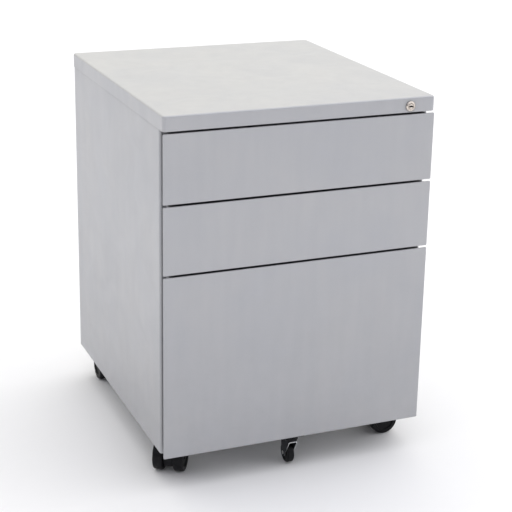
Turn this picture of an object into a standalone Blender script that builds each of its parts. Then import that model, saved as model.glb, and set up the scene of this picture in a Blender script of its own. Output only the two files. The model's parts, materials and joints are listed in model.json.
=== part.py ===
"""Rolling pedestal cabinet: two box drawers over a file drawer, in folded sheet steel on castors.

Metres, +Z up. X runs across the cabinet, the drawers open towards -Y, and the floor is Z = 0.
"""

import math
from collections import namedtuple

import bmesh
import bpy
from mathutils import Matrix, Vector

# Overall size.
WIDTH = 0.460
HEIGHT = 0.625
DEPTH = 0.508
LOCK_PROUD = 0.003
FRONT_Y = -(DEPTH - LOCK_PROUD) / 2
HALF_WIDTH = WIDTH / 2

# Sheet metal.
SHEET = 0.0012
CLEARANCE = 0.0003
RUNNING_FIT = 0.0001
FOLD_RADIUS = 0.0016
FOLD_STEPS = 2

# Top cover, carcass and the recess between the carcass and the drawer fronts.
LIP_HEIGHT = 0.0243
FRONT_RECESS = 0.021
CARCASS_BOTTOM = 0.0588
SKIN_OUT = HALF_WIDTH - SHEET - CLEARANCE
SKIN_IN = SKIN_OUT - SHEET
CARCASS_BACK = DEPTH - SHEET - CLEARANCE
OPENING_HALF = 0.217
REAR_FLANGE_IN = 0.2085
PAN_RIM = 0.015
RAIL_FLANGE = 0.005
RAIL_GAP = 0.0012

# Drawer fronts: a hemmed skin with a narrower pan behind it, which leaves the finger recesses.
SEAM = 0.0033
SMALL_FRONT_HEIGHT = 0.1112
FILE_FRONT_BOTTOM = 0.0585
HEM = 0.0024
PAN_HALF = 0.219
PAN_BACK = FRONT_RECESS - 0.0005

# Drawer trays and runners, measured from the middle plane outwards.
TRAY_HALF = 0.208
TRAY_FRONT = FRONT_RECESS - 0.0002
TRAY_LENGTH = 0.440
TRAY_RIM = 0.006
MEMBER_FRONT = 0.045
DRAWER_MEMBER_IN = TRAY_HALF + CLEARANCE
DRAWER_LIP_OUT = 0.2155
FILE_DRAWER_LIP_OUT = 0.2135
MIDDLE_MEMBER_IN = 0.2149
MIDDLE_LIP_IN = 0.2106
CABINET_MEMBER_OUT = 0.2210
CABINET_LIP_IN = 0.2115
SPACER_LENGTH = 0.030
SPACER_INSET = 0.010
BALL_GAP = 0.0028

# Lock in the cover's front lip, and the bar that it lowers in front of the drawers' catches.
LOCK_X = 0.1855
LOCK_Z = HEIGHT - 0.014
BEZEL_RADIUS = 0.00825
BEZEL_BEVEL = 0.001
BARREL_RADIUS = 0.006
PLUG_RADIUS = 0.0043
PLUG_SUNK = 0.0003
KEYWAY_HALF = (0.0036, 0.001)
KEYWAY_DEPTH = 0.005
LOCK_NUT_RADIUS = 0.0092
LOCK_NUT_THICKNESS = 0.003
CAM_THROW = 0.007
CAM_PIN_RADIUS = 0.002
CAM_BOSS_RADIUS = 0.005
CAM_TIP_RADIUS = 0.0032
CAM_FRONT = 0.0239
CAM_THICKNESS = 0.002
BAR_FRONT = 0.027
BAR_THICKNESS = 0.002
BAR_STRIP_IN = 0.224
BAR_SLOT_WALL = 0.0023
BAR_SLOT_PLAY = 0.0005
BAR_STRIP_BACK = 0.039
GUIDE_HEIGHTS = {"upper": 0.535, "lower": 0.335}
GUIDE_LENGTH = 0.012
GUIDE_WALL = 0.0008
GUIDE_PLAY = 0.0004
HOOK_IN = 0.2105
HOOK_HEIGHT = 0.008
HOOK_REST_GAP = 0.0033
CATCH_FRONT = 0.0302
CATCH_OUT = 0.2165
CATCH_BACK = MEMBER_FRONT - 0.001

# Twin-wheel castors under the corners.
CASTOR_X = 0.1825
CASTOR_INSET_FRONT = 0.090
CASTOR_INSET_BACK = 0.062
CASTOR_TRAIL = 0.020
WHEEL_RADIUS = 0.025
WHEEL_WIDTH = 0.017
WHEEL_SPACING = 0.035
WHEEL_STEPS = 32
TREAD_ROUND = 0.0025
HUB_CAP = 0.003
AXLE_RADIUS = 0.003
HOOD_TOP = 0.0555
FENDER_RADIUS = 0.0262
FENDER_THICKNESS = 0.002
FENDER_REACH = (25.0, 165.0)
HOOD_BOSS = 0.0095
HOOD_WEB_RADIUS = 0.019
HOOD_BASE = 0.031
STEM_RADIUS = 0.004
STEM_THREAD_RADIUS = 0.005
STEM_COLLAR_RADIUS = 0.009
STEM_NUT_RADIUS = 0.0095
STEM_NUT_HEIGHT = 0.006
STEM_LOW = 0.032
STEM_HIGH = 0.0735

# Direction from each castor's stem to its axle, in degrees from +X.
CASTOR_HEADINGS = {
    "front_left": 237.0,
    "front_right": 4.0,
    "back_left": 89.0,
    "back_right": 65.0,
}

# Small castor under the file drawer's front, which stops the open cabinet from tipping.
FIFTH_SWIVEL = 0.015
FIFTH_TRAIL = 0.013
FIFTH_RADIUS = 0.0175
FIFTH_WIDTH = 0.012
FIFTH_LIFT = 0.0015
FIFTH_BORE = 0.0023
FIFTH_ROUND = 0.003
PLATE_HALF = 0.021
PLATE_FRONT = 0.003
PLATE_BACK = 0.034
PLATE_THICKNESS = 0.002
RACE_RADIUS = 0.012
RACE_FOOT_RADIUS = 0.0095
RACE_TAPER = 0.004
KINGPIN_RADIUS = 0.003
KINGPIN_HEAD_RADIUS = 0.0055
KINGPIN_HEAD_HEIGHT = 0.002
FORK_HALF = 0.0082
FORK_SHEET = 0.0015
FORK_TOP = 0.0468
FORK_FRONT = -0.0085
FORK_BACK = FIFTH_TRAIL + 0.010
FORK_END_RADIUS = 0.0065
RIVET_RADIUS = 0.0021
RIVET_HEAD_RADIUS = 0.0032
RIVET_HEAD = 0.001

Drawer = namedtuple("Drawer", "name bottom top tray_bottom tray_top runner_z runner_height catch_z")

UPPER_TOP = HEIGHT - LIP_HEIGHT - SEAM
UPPER_BOTTOM = UPPER_TOP - SMALL_FRONT_HEIGHT
MIDDLE_TOP = UPPER_BOTTOM - SEAM
MIDDLE_BOTTOM = MIDDLE_TOP - SMALL_FRONT_HEIGHT
FILE_TOP = MIDDLE_BOTTOM - SEAM
SMALL_TRAY_LIFT = 0.006
SMALL_TRAY_HEIGHT = 0.088
SMALL_RUNNER_LIFT = 0.041
SMALL_RUNNER_HEIGHT = 0.035
SMALL_CATCH_LIFT = 0.074


def small_drawer(name, bottom, top):
    """A box drawer, whose tray, runners and catch all sit at the same height above its front's edge."""
    return Drawer(
        name,
        bottom,
        top,
        bottom + SMALL_TRAY_LIFT,
        bottom + SMALL_TRAY_LIFT + SMALL_TRAY_HEIGHT,
        bottom + SMALL_RUNNER_LIFT,
        SMALL_RUNNER_HEIGHT,
        bottom + SMALL_CATCH_LIFT,
    )


DRAWERS = (
    small_drawer("upper", UPPER_BOTTOM, UPPER_TOP),
    small_drawer("middle", MIDDLE_BOTTOM, MIDDLE_TOP),
    Drawer("file", FILE_FRONT_BOTTOM, FILE_TOP, 0.080, 0.335, 0.200, 0.045, 0.300),
)
SMALL_MEMBER_LENGTHS = {"cabinet": 0.400, "drawer": 0.400}
FILE_MEMBER_LENGTHS = {"cabinet": 0.450, "middle": 0.430, "drawer": 0.415}


def depth(distance):
    """Y of a point that lies this far behind the drawer fronts' face."""
    return FRONT_Y + distance


# Materials


def material(name, colour, roughness, metallic):
    made = bpy.data.materials.new(name)
    made.use_nodes = True
    shader = made.node_tree.nodes["Principled BSDF"]
    shader.inputs["Base Color"].default_value = (*colour, 1.0)
    shader.inputs["Roughness"].default_value = roughness
    shader.inputs["Metallic"].default_value = metallic
    made.diffuse_color = (*colour, 1.0)
    return made


# Mesh helpers


def mesh_object(name, mesh_in_bmesh, looks=None, parent=None):
    """Turns a bmesh into an object, shaded smooth across its shallow edges."""
    bmesh.ops.recalc_face_normals(mesh_in_bmesh, faces=mesh_in_bmesh.faces)
    mesh = bpy.data.meshes.new(name)
    mesh_in_bmesh.to_mesh(mesh)
    mesh_in_bmesh.free()
    mesh.shade_smooth()
    mesh.set_sharp_from_angle(angle=math.radians(32))
    if looks:
        mesh.materials.append(looks)
    made = bpy.data.objects.new(name, mesh)
    bpy.context.scene.collection.objects.link(made)
    made.parent = parent
    return made


def pivot(name, location, parent=None, turn=0.0):
    """An empty on a joint's axis, turned about Z."""
    made = bpy.data.objects.new(name, None)
    made.empty_display_size = 0.02
    made.location = location
    made.rotation_euler = (0.0, 0.0, turn)
    made.parent = parent
    bpy.context.scene.collection.objects.link(made)
    return made


def box_mesh(low, high):
    made = bmesh.new()
    bmesh.ops.create_cube(made, size=1.0)
    size = Vector(high) - Vector(low)
    middle = (Vector(high) + Vector(low)) / 2
    place = Matrix.Translation(middle) @ Matrix.Diagonal((*size, 1.0))
    bmesh.ops.transform(made, matrix=place, verts=made.verts)
    return made


def box(name, low, high, looks=None, parent=None):
    return mesh_object(name, box_mesh(low, high), looks, parent)


def round_edges(shape, chosen, radius, steps):
    """Rounds the edges for which chosen(middle, direction) is true."""
    edges = []
    for edge in shape.edges:
        first, second = (vertex.co for vertex in edge.verts)
        if chosen((first + second) / 2, (second - first).normalized()):
            edges.append(edge)
    bmesh.ops.bevel(shape, geom=edges, offset=radius, segments=steps, profile=0.5, affect="EDGES")


def prism_mesh(outline, axis, start, end):
    """Extrudes a closed outline along X, Y or Z. The outline's points hold the other two axes in order."""
    made = bmesh.new()
    across = [i for i in range(3) if i != "XYZ".index(axis)]
    corners = []
    for point in outline:
        place = [start, start, start]
        place[across[0]] = point[0]
        place[across[1]] = point[1]
        corners.append(made.verts.new(place))
    face = made.faces.new(corners)
    grown = bmesh.ops.extrude_face_region(made, geom=[face])
    step = [0.0, 0.0, 0.0]
    step["XYZ".index(axis)] = end - start
    moved = [item for item in grown["geom"] if isinstance(item, bmesh.types.BMVert)]
    bmesh.ops.translate(made, verts=moved, vec=step)
    return made


def prism(name, outline, axis, start, end, looks=None, parent=None):
    return mesh_object(name, prism_mesh(outline, axis, start, end), looks, parent)


def turned(name, profile, axis, steps, looks=None, parent=None):
    """Spins a closed profile of (radius, distance along the axis) points round X, Y or Z."""
    made = bmesh.new()
    corners = [made.verts.new((radius, 0.0, along)) for radius, along in profile]
    edges = [made.edges.new((a, b)) for a, b in zip(corners, corners[1:] + corners[:1])]
    bmesh.ops.spin(
        made,
        geom=corners + edges,
        cent=(0, 0, 0),
        axis=(0, 0, 1),
        angle=math.tau,
        steps=steps,
        use_merge=True,
    )
    bmesh.ops.remove_doubles(made, verts=made.verts, dist=1e-6)
    turn = {"X": Matrix.Rotation(math.pi / 2, 4, "Y"), "Y": Matrix.Rotation(-math.pi / 2, 4, "X")}
    if axis in turn:
        bmesh.ops.transform(made, matrix=turn[axis], verts=made.verts)
    return mesh_object(name, made, looks, parent)


def circle(centre, radius, steps, first=0.0, last=math.tau):
    """Points round an arc. A whole circle leaves out the last point, which is the first again."""
    count = steps if math.isclose(last - first, math.tau) else steps + 1
    return [
        (
            centre[0] + radius * math.cos(first + (last - first) * i / steps),
            centre[1] + radius * math.sin(first + (last - first) * i / steps),
        )
        for i in range(count)
    ]


def combine(target, operation, tool):
    """Cuts or joins with another object, which then stays as a hidden helper."""
    tool.name = f"{target.name}_{operation.lower()}_tool"
    tool.hide_render = True
    tool.display_type = "WIRE"
    tool.parent = target.parent
    modifier = target.modifiers.new(tool.name, "BOOLEAN")
    modifier.operation = operation
    modifier.solver = "EXACT"
    modifier.object = tool


def cut(target, tool):
    combine(target, "DIFFERENCE", tool)


def join(target, tool):
    combine(target, "UNION", tool)


def box_between(side, low, high):
    """Corners of a box given for the right-hand side (side = 1), or mirrored for the left (side = -1)."""
    xs = sorted((side * low[0], side * high[0]))
    return (xs[0], low[1], low[2]), (xs[1], high[1], high[2])


# Carcass


def make_top_cover(looks):
    """A shallow lid, open below, whose lips hang over the carcass and reach the drawer fronts' face."""
    shape = box_mesh(
        (-HALF_WIDTH, depth(0.0), HEIGHT - LIP_HEIGHT), (HALF_WIDTH, depth(DEPTH), HEIGHT)
    )
    floor = HEIGHT - LIP_HEIGHT
    round_edges(
        shape, lambda middle, way: middle.z > floor + CLEARANCE, FOLD_RADIUS, FOLD_STEPS
    )
    cover = mesh_object("top_cover", shape, looks)
    hollow = box(
        "hollow",
        (-HALF_WIDTH + SHEET, depth(SHEET), floor - SHEET),
        (HALF_WIDTH - SHEET, depth(DEPTH - SHEET), HEIGHT - SHEET),
    )
    cut(cover, hollow)
    hole = prism(
        "hole",
        circle((LOCK_X, LOCK_Z), BARREL_RADIUS + 2 * CLEARANCE, 24),
        "Y",
        depth(-SHEET),
        depth(2 * SHEET),
    )
    cut(cover, hole)


def make_side_panel(name, side, looks):
    """A sheet with a narrow flange beside the drawer opening and a wider one behind the back panel."""
    front = depth(FRONT_RECESS)
    back = depth(CARCASS_BACK)
    outline = [
        (OPENING_HALF, front),
        (SKIN_OUT, front),
        (SKIN_OUT, back),
        (REAR_FLANGE_IN, back),
        (REAR_FLANGE_IN, back - SHEET),
        (SKIN_IN, back - SHEET),
        (SKIN_IN, front + SHEET),
        (OPENING_HALF, front + SHEET),
    ]
    top = HEIGHT - SHEET - CLEARANCE
    shape = prism_mesh([(side * x, y) for x, y in outline], "Z", CARCASS_BOTTOM, top)
    round_edges(
        shape,
        lambda middle, way: abs(way.z) > 0.9 and abs(middle.x) > SKIN_OUT - CLEARANCE,
        FOLD_RADIUS / 2,
        FOLD_STEPS,
    )
    mesh_object(name, shape, looks)


def make_back_panel(looks):
    back = CARCASS_BACK - SHEET - CLEARANCE
    half = SKIN_IN - CLEARANCE
    box(
        "back_panel",
        (-half, depth(back - SHEET), CARCASS_BOTTOM + CLEARANCE),
        (half, depth(back), HEIGHT - SHEET - CLEARANCE),
        looks,
    )


def castor_places():
    """Each corner castor's name with the X and Y of its stem."""
    front = depth(CASTOR_INSET_FRONT)
    back = depth(DEPTH - CASTOR_INSET_BACK)
    return {
        "front_left": (-CASTOR_X, front),
        "front_right": (CASTOR_X, front),
        "back_left": (-CASTOR_X, back),
        "back_right": (CASTOR_X, back),
    }


def make_base_pan(looks):
    """The floor of the carcass: a pan with a turned-up rim, and a hole for each castor's stem."""
    half = SKIN_IN - CLEARANCE
    front = FRONT_RECESS + SHEET + CLEARANCE
    back = CARCASS_BACK - 2 * (SHEET + CLEARANCE)
    bottom = CARCASS_BOTTOM + CLEARANCE
    pan = box(
        "base_pan", (-half, depth(front), bottom), (half, depth(back), bottom + PAN_RIM), looks
    )
    hollow = box(
        "hollow",
        (-half + SHEET, depth(front + SHEET), bottom + SHEET),
        (half - SHEET, depth(back - SHEET), bottom + 2 * PAN_RIM),
    )
    cut(pan, hollow)
    for place in castor_places().values():
        bore = circle(place, STEM_THREAD_RADIUS + CLEARANCE, 16)
        cut(pan, prism("hole", bore, "Z", bottom - SHEET, bottom + 2 * SHEET))


def make_front_top_rail(looks):
    """An angle between the side panels' front flanges, with a hole that the lock passes through."""
    half = OPENING_HALF - CLEARANCE
    front = depth(FRONT_RECESS)
    low = HEIGHT - LIP_HEIGHT + RAIL_GAP
    high = HEIGHT - SHEET - RAIL_GAP
    outline = [
        (front, low),
        (front + SHEET, low),
        (front + SHEET, high - SHEET),
        (front + RAIL_FLANGE, high - SHEET),
        (front + RAIL_FLANGE, high),
        (front, high),
    ]
    rail = prism("front_top_rail", outline, "X", -half, half, looks)
    hole = prism(
        "hole",
        circle((LOCK_X, LOCK_Z), BARREL_RADIUS + 2 * CLEARANCE, 24),
        "Y",
        front - SHEET,
        front + 2 * SHEET,
    )
    cut(rail, hole)


# Drawers and runners


def channel(web_in, web_out, lip_end, half_height):
    """Outline in X and Z of a C-shaped runner member, whose lips run from its web to lip_end."""
    web = (web_in, web_out) if lip_end < web_in else (web_out, web_in)
    outer = web[1]
    inner = web[0]
    low = half_height - SHEET
    return [
        (outer, -half_height),
        (outer, half_height),
        (lip_end, half_height),
        (lip_end, low),
        (inner, low),
        (inner, -low),
        (lip_end, -low),
        (lip_end, -half_height),
    ]


def member(name, section, side, centre_z, start, length, looks, parent=None):
    outline = [(side * x, centre_z + z) for x, z in section]
    return prism(name, outline, "Y", start, start + length, looks, parent)


def make_cabinet_member(name, side, centre_z, height, length, looks):
    """The runner's fixed channel, with two spacers that hold it off the side panel."""
    section = channel(CABINET_MEMBER_OUT - SHEET, CABINET_MEMBER_OUT, CABINET_LIP_IN, height / 2)
    start = depth(MEMBER_FRONT)
    fixed = member(name, section, side, centre_z, start, length, looks)
    for along in (SPACER_INSET, length - SPACER_INSET - SPACER_LENGTH):
        low, high = box_between(
            side,
            (CABINET_MEMBER_OUT - SHEET / 2, start + along, centre_z - height / 4),
            (SKIN_IN - CLEARANCE, start + along + SPACER_LENGTH, centre_z + height / 4),
        )
        join(fixed, box("spacer", low, high))


def make_front(drawer, parent, looks):
    """The drawer's face: a hemmed skin, and a pan behind it that is narrower and open at the back."""
    shape = box_mesh(
        (-HALF_WIDTH, depth(0.0), drawer.bottom), (HALF_WIDTH, depth(HEM), drawer.top)
    )
    round_edges(shape, lambda middle, way: middle.y < depth(CLEARANCE), HEM / 3, FOLD_STEPS)
    front = mesh_object(f"{drawer.name}_drawer_front", shape, looks, parent)
    pan = box(
        "pan",
        (-PAN_HALF, depth(HEM / 2), drawer.bottom + SHEET),
        (PAN_HALF, depth(PAN_BACK), drawer.top - SHEET),
    )
    join(front, pan)
    hollow = box(
        "hollow",
        (-PAN_HALF + SHEET, depth(SHEET), drawer.bottom + 2 * SHEET),
        (PAN_HALF - SHEET, depth(PAN_BACK + SHEET), drawer.top - 2 * SHEET),
    )
    cut(front, hollow)


def make_tray(drawer, parent, looks):
    """An open box with a rim turned inwards, which carries hanging files on the file drawer."""
    start = depth(TRAY_FRONT)
    end = start + TRAY_LENGTH
    tray = box(
        f"{drawer.name}_drawer_tray",
        (-TRAY_HALF, start, drawer.tray_bottom),
        (TRAY_HALF, end, drawer.tray_top),
        looks,
        parent,
    )
    hollow = box(
        "hollow",
        (-TRAY_HALF + SHEET, start + SHEET, drawer.tray_bottom + SHEET),
        (TRAY_HALF - SHEET, end - SHEET, drawer.tray_top - SHEET),
    )
    cut(tray, hollow)
    mouth = box(
        "mouth",
        (-TRAY_HALF + TRAY_RIM, start + TRAY_RIM, drawer.tray_top - 2 * SHEET),
        (TRAY_HALF - TRAY_RIM, end - TRAY_RIM, drawer.tray_top + SHEET),
    )
    cut(tray, mouth)


def make_catch(drawer, parent, looks):
    """The angle on the tray's right-hand side that the lock bar's hook stands in front of."""
    inner = TRAY_HALF + CLEARANCE
    outline = [
        (inner, depth(CATCH_FRONT)),
        (CATCH_OUT, depth(CATCH_FRONT)),
        (CATCH_OUT, depth(CATCH_FRONT + SHEET)),
        (inner + SHEET, depth(CATCH_FRONT + SHEET)),
        (inner + SHEET, depth(CATCH_BACK)),
        (inner, depth(CATCH_BACK)),
    ]
    name = f"{drawer.name}_drawer_catch"
    prism(name, outline, "Z", drawer.catch_z, drawer.catch_z + HOOK_HEIGHT, looks, parent)


def make_drawer(drawer, looks):
    slide = pivot(f"{drawer.name}_drawer_slide", (0.0, 0.0, 0.0))
    make_front(drawer, slide, looks["paint"])
    make_tray(drawer, slide, looks["tray"])
    make_catch(drawer, slide, looks["zinc"])
    is_file = drawer.name == "file"
    lengths = FILE_MEMBER_LENGTHS if is_file else SMALL_MEMBER_LENGTHS
    outer_half = drawer.runner_height / 2
    middle_half = outer_half - SHEET - BALL_GAP
    drawer_half = middle_half - SHEET - BALL_GAP if is_file else middle_half
    drawer_lip = FILE_DRAWER_LIP_OUT if is_file else DRAWER_LIP_OUT
    drawer_section = channel(DRAWER_MEMBER_IN, DRAWER_MEMBER_IN + SHEET, drawer_lip, drawer_half)
    middle_section = channel(MIDDLE_MEMBER_IN, MIDDLE_MEMBER_IN + SHEET, MIDDLE_LIP_IN, middle_half)
    start = depth(MEMBER_FRONT)
    for side_name, side in (("left", -1), ("right", 1)):
        make_cabinet_member(
            f"{side_name}_{drawer.name}_runner_cabinet_member",
            side,
            drawer.runner_z,
            drawer.runner_height,
            lengths["cabinet"],
            looks["zinc"],
        )
        member(
            f"{side_name}_{drawer.name}_runner_drawer_member",
            drawer_section,
            side,
            drawer.runner_z,
            start,
            lengths["drawer"],
            looks["zinc"],
            slide,
        )
    if is_file:
        between = pivot("file_runner_middle_slide", (0.0, 0.0, 0.0))
        for side_name, side in (("left", -1), ("right", 1)):
            member(
                f"{side_name}_file_runner_middle_member",
                middle_section,
                side,
                drawer.runner_z,
                start,
                lengths["middle"],
                looks["zinc"],
                between,
            )
    return slide


# Lock


def make_lock_housing(looks):
    """The barrel, with its bezel proud of the lip, and the nut that clamps it from behind."""
    bore = PLUG_RADIUS + RUNNING_FIT
    profile = [
        (bore, -LOCK_PROUD),
        (BEZEL_RADIUS - BEZEL_BEVEL, -LOCK_PROUD),
        (BEZEL_RADIUS, -LOCK_PROUD + BEZEL_BEVEL),
        (BEZEL_RADIUS, -CLEARANCE),
        (BARREL_RADIUS, -CLEARANCE),
        (BARREL_RADIUS, FRONT_RECESS + 2 * SHEET),
        (bore, FRONT_RECESS + 2 * SHEET),
    ]
    barrel = turned("lock_barrel", profile, "Y", 24, looks["nickel"])
    barrel.location = (LOCK_X, FRONT_Y, LOCK_Z)
    nut_hex = circle((LOCK_X, LOCK_Z), LOCK_NUT_RADIUS, 6, math.pi / 6, math.pi / 6 + math.tau)
    front = depth(SHEET + CLEARANCE)
    back = front + LOCK_NUT_THICKNESS
    nut = prism("lock_nut", nut_hex, "Y", front, back, looks["zinc"])
    bore_circle = circle((LOCK_X, LOCK_Z), BARREL_RADIUS + CLEARANCE, 24)
    hole = prism("hole", bore_circle, "Y", front - SHEET, back + SHEET)
    cut(nut, hole)


def make_lock_plug(looks):
    """The keyed plug and the cam on its inner end. Both turn about the lock's axis."""
    axis = pivot("lock_axis", (LOCK_X, FRONT_Y, LOCK_Z))
    face = -LOCK_PROUD + PLUG_SUNK
    profile = [
        (0.0, face),
        (PLUG_RADIUS, face),
        (PLUG_RADIUS, CAM_FRONT - CLEARANCE),
        (0.0, CAM_FRONT - CLEARANCE),
    ]
    plug = turned("lock_plug", profile, "Y", 20, looks["nickel"], axis)
    wide, high = KEYWAY_HALF
    keyway = box("keyway", (-wide, face - SHEET, -high), (wide, face + KEYWAY_DEPTH, high))
    cut(plug, keyway)
    pin_reach = BAR_FRONT + BAR_THICKNESS + 2 * CLEARANCE
    pin_at = (CAM_THROW * math.cos(math.pi / 4), CAM_THROW * math.sin(math.pi / 4))
    boss = circle((0.0, 0.0), CAM_BOSS_RADIUS, 12, 3 * math.pi / 4, 7 * math.pi / 4)
    tip = circle(pin_at, CAM_TIP_RADIUS, 8, -math.pi / 4, 3 * math.pi / 4)
    cam = prism("lock_cam", boss + tip, "Y", CAM_FRONT, CAM_FRONT + CAM_THICKNESS, looks["zinc"], axis)
    pin_start = CAM_FRONT + CAM_THICKNESS / 2
    join(cam, prism("pin", circle(pin_at, CAM_PIN_RADIUS, 12), "Y", pin_start, pin_reach))


def make_lock_bar(looks):
    """The cam's pin moves the slotted arm, which carries a strip down the side with one hook a drawer."""
    lift = pivot("lock_bar_slide", (0.0, 0.0, 0.0))
    throw = CAM_THROW * math.sin(math.pi / 4)
    arm_z = LOCK_Z + throw
    arm_half = CAM_PIN_RADIUS + BAR_SLOT_WALL
    slot_half = CAM_PIN_RADIUS + BAR_SLOT_PLAY
    strip_out = BAR_STRIP_IN + BAR_THICKNESS
    arm_end = strip_out - BAR_THICKNESS / 4
    front = depth(BAR_FRONT)
    back = depth(BAR_FRONT + BAR_THICKNESS)
    lowest = DRAWERS[-1].catch_z + HOOK_HEIGHT + HOOK_REST_GAP
    bar = box(
        "lock_bar",
        (BAR_STRIP_IN, front, lowest),
        (strip_out, depth(BAR_STRIP_BACK), arm_z + arm_half),
        looks["zinc"],
        lift,
    )
    arm_start = LOCK_X + throw - slot_half - BAR_SLOT_WALL
    join(bar, box("arm", (arm_start, front, arm_z - arm_half), (arm_end, back, arm_z + arm_half)))
    slot = box(
        "slot",
        (LOCK_X + throw - slot_half, front - SHEET, arm_z - slot_half),
        (LOCK_X + CAM_THROW + slot_half, back + SHEET, arm_z + slot_half),
    )
    cut(bar, slot)
    for drawer in DRAWERS:
        low = drawer.catch_z + HOOK_HEIGHT + HOOK_REST_GAP
        join(bar, box("hook", (HOOK_IN, front, low), (arm_end, back, low + HOOK_HEIGHT)))


def make_lock_bar_guides(looks):
    """Two loops on the side panel that the lock bar's strip slides through."""
    play = GUIDE_PLAY
    wall = GUIDE_WALL
    inner = (BAR_STRIP_IN - play, BAR_STRIP_IN + BAR_THICKNESS + play)
    for name, low in GUIDE_HEIGHTS.items():
        guide = box(
            f"{name}_lock_bar_guide",
            (inner[0] - wall, depth(BAR_FRONT - play - wall), low),
            (SKIN_IN - CLEARANCE, depth(BAR_STRIP_BACK + play + wall), low + GUIDE_LENGTH),
            looks["zinc"],
        )
        hole = box(
            "hole",
            (inner[0], depth(BAR_FRONT - play), low - wall),
            (inner[1], depth(BAR_STRIP_BACK + play), low + GUIDE_LENGTH + wall),
        )
        cut(guide, hole)


# Castors


def make_castor_stem(name, place, looks):
    """The bolt that a castor swivels on, with its collar under the base pan and its nut above."""
    collar_low = HOOD_TOP + CLEARANCE
    pan_top = CARCASS_BOTTOM + CLEARANCE + SHEET
    thread = STEM_THREAD_RADIUS - RUNNING_FIT
    profile = [
        (0.0, STEM_LOW),
        (STEM_RADIUS, STEM_LOW),
        (STEM_RADIUS, collar_low),
        (STEM_COLLAR_RADIUS, collar_low),
        (STEM_COLLAR_RADIUS, CARCASS_BOTTOM),
        (thread, CARCASS_BOTTOM),
        (thread, STEM_HIGH),
        (0.0, STEM_HIGH),
    ]
    stem = turned(f"{name}_castor_stem", profile, "Z", 16, looks["zinc"])
    stem.location = (*place, 0.0)
    nut_low = pan_top + CLEARANCE
    nut = prism("nut", circle((0.0, 0.0), STEM_NUT_RADIUS, 6), "Z", nut_low, nut_low + STEM_NUT_HEIGHT)
    nut.location = stem.location
    join(stem, nut)


def make_hood(name, swivel, looks):
    """The web between the wheels takes the stem and the axle, and carries a fender over both wheels."""
    half = (WHEEL_SPACING - WHEEL_WIDTH) / 2 - 2 * CLEARANCE
    axle = (CASTOR_TRAIL, WHEEL_RADIUS)
    inside_fender = FENDER_RADIUS + FENDER_THICKNESS / 2
    outline = [(-HOOD_BOSS, HOOD_TOP), (-HOOD_BOSS, HOOD_BASE)]
    outline += circle(axle, HOOD_WEB_RADIUS, 18, math.radians(162), math.radians(375))
    outline += circle(axle, inside_fender, 10, math.radians(FENDER_REACH[0]), math.radians(100))
    outline += [(HOOD_BOSS, HOOD_TOP)]
    hood = prism(f"{name}_castor_hood", outline, "Y", -half, half, looks["black"], swivel)
    reach = (math.radians(FENDER_REACH[0]), math.radians(FENDER_REACH[1]))
    outer = circle(axle, FENDER_RADIUS + FENDER_THICKNESS, 18, *reach)
    inner = circle(axle, FENDER_RADIUS, 18, *reach)
    width = (WHEEL_SPACING + WHEEL_WIDTH) / 2 - 0.001
    join(hood, prism("fender", outer + inner[::-1], "Y", -width, width))
    bore = circle((0.0, 0.0), STEM_RADIUS + CLEARANCE, 16)
    cut(hood, prism("stem_hole", bore, "Z", STEM_LOW - CLEARANCE, HOOD_TOP + SHEET))
    axle_hole = circle(axle, AXLE_RADIUS + 2 * RUNNING_FIT, 14)
    cut(hood, prism("axle_hole", axle_hole, "Y", -half - SHEET, half + SHEET))


def wheel_profile(radius, width, bore):
    """Half section of a wheel on its own axis, with a rounded tread and a dished, capped outer face."""
    inner = -width / 2
    outer = width / 2
    edge = TREAD_ROUND
    dish = outer - HUB_CAP / 2
    return [
        (0.0, dish),
        (radius * 0.62, dish),
        (radius * 0.70, outer),
        (radius - edge, outer),
        (radius - edge * 0.3, outer - edge * 0.3),
        (radius, outer - edge),
        (radius, inner + edge),
        (radius - edge * 0.3, inner + edge * 0.3),
        (radius - edge, inner),
        (bore, inner),
        (bore, outer - HUB_CAP),
        (0.0, outer - HUB_CAP),
    ]


def flat_down(radius, steps):
    """Radius of a many-sided wheel whose flats are this far from its centre."""
    return radius / math.cos(math.pi / steps)


def make_castor(name, place, looks):
    """The swivelling part of a corner castor. The axle trails the stem along the swivel's own X."""
    swivel = pivot(f"{name}_castor_swivel", (*place, 0.0), turn=math.radians(CASTOR_HEADINGS[name]))
    make_hood(name, swivel, looks)
    half = WHEEL_SPACING / 2 + WHEEL_WIDTH / 2 - HUB_CAP - RUNNING_FIT * 5
    rod = [(0.0, -half), (AXLE_RADIUS, -half), (AXLE_RADIUS, half), (0.0, half)]
    axle = turned(f"{name}_castor_axle", rod, "Y", 14, looks["zinc"], swivel)
    axle.location = (CASTOR_TRAIL, 0.0, WHEEL_RADIUS)
    radius = flat_down(WHEEL_RADIUS, WHEEL_STEPS)
    for side_name, side in (("left", -1), ("right", 1)):
        profile = wheel_profile(radius, WHEEL_WIDTH, AXLE_RADIUS + RUNNING_FIT)
        profile = [(r, side * along) for r, along in profile]
        wheel_name = f"{name}_castor_{side_name}_wheel"
        wheel = turned(wheel_name, profile, "Y", WHEEL_STEPS, looks["black"], swivel)
        wheel.location = (CASTOR_TRAIL, side * WHEEL_SPACING / 2, WHEEL_RADIUS)
        wheel.rotation_euler = (0.0, math.pi / WHEEL_STEPS, 0.0)


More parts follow.
